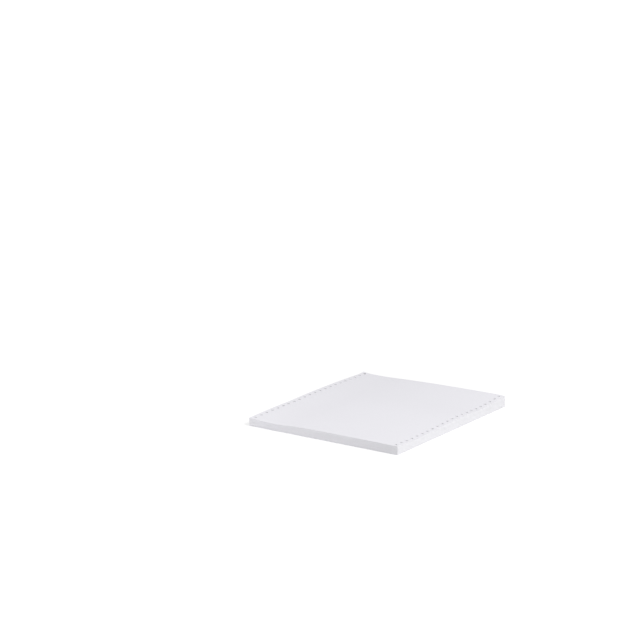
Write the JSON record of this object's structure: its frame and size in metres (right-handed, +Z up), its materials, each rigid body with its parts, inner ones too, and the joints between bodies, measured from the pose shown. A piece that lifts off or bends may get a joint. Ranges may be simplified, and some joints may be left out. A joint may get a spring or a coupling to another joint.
{
  "type": "fan-folded stack of continuous computer paper",
  "caption": "Thin stack of white continuous paper, folded to and fro, with a row of round feed holes along each cut edge and folded creases at both ends.",
  "frame": {"origin": "middle of the underside, on the surface that the stack lies on", "axes": "+X across the web, from one punched edge to the other; +Y along the feed, from the end whose creases are pressed flat to the end where both ends of the web lie; +Z up"},
  "size_m": [0.2414, 0.2794, 0.0162],
  "materials": {
    "paper": "smooth uncoated white bond paper, matt"
  },
  "bodies": {
    "root": {"paper_stack": "paper"}
  },
  "joints": []
}
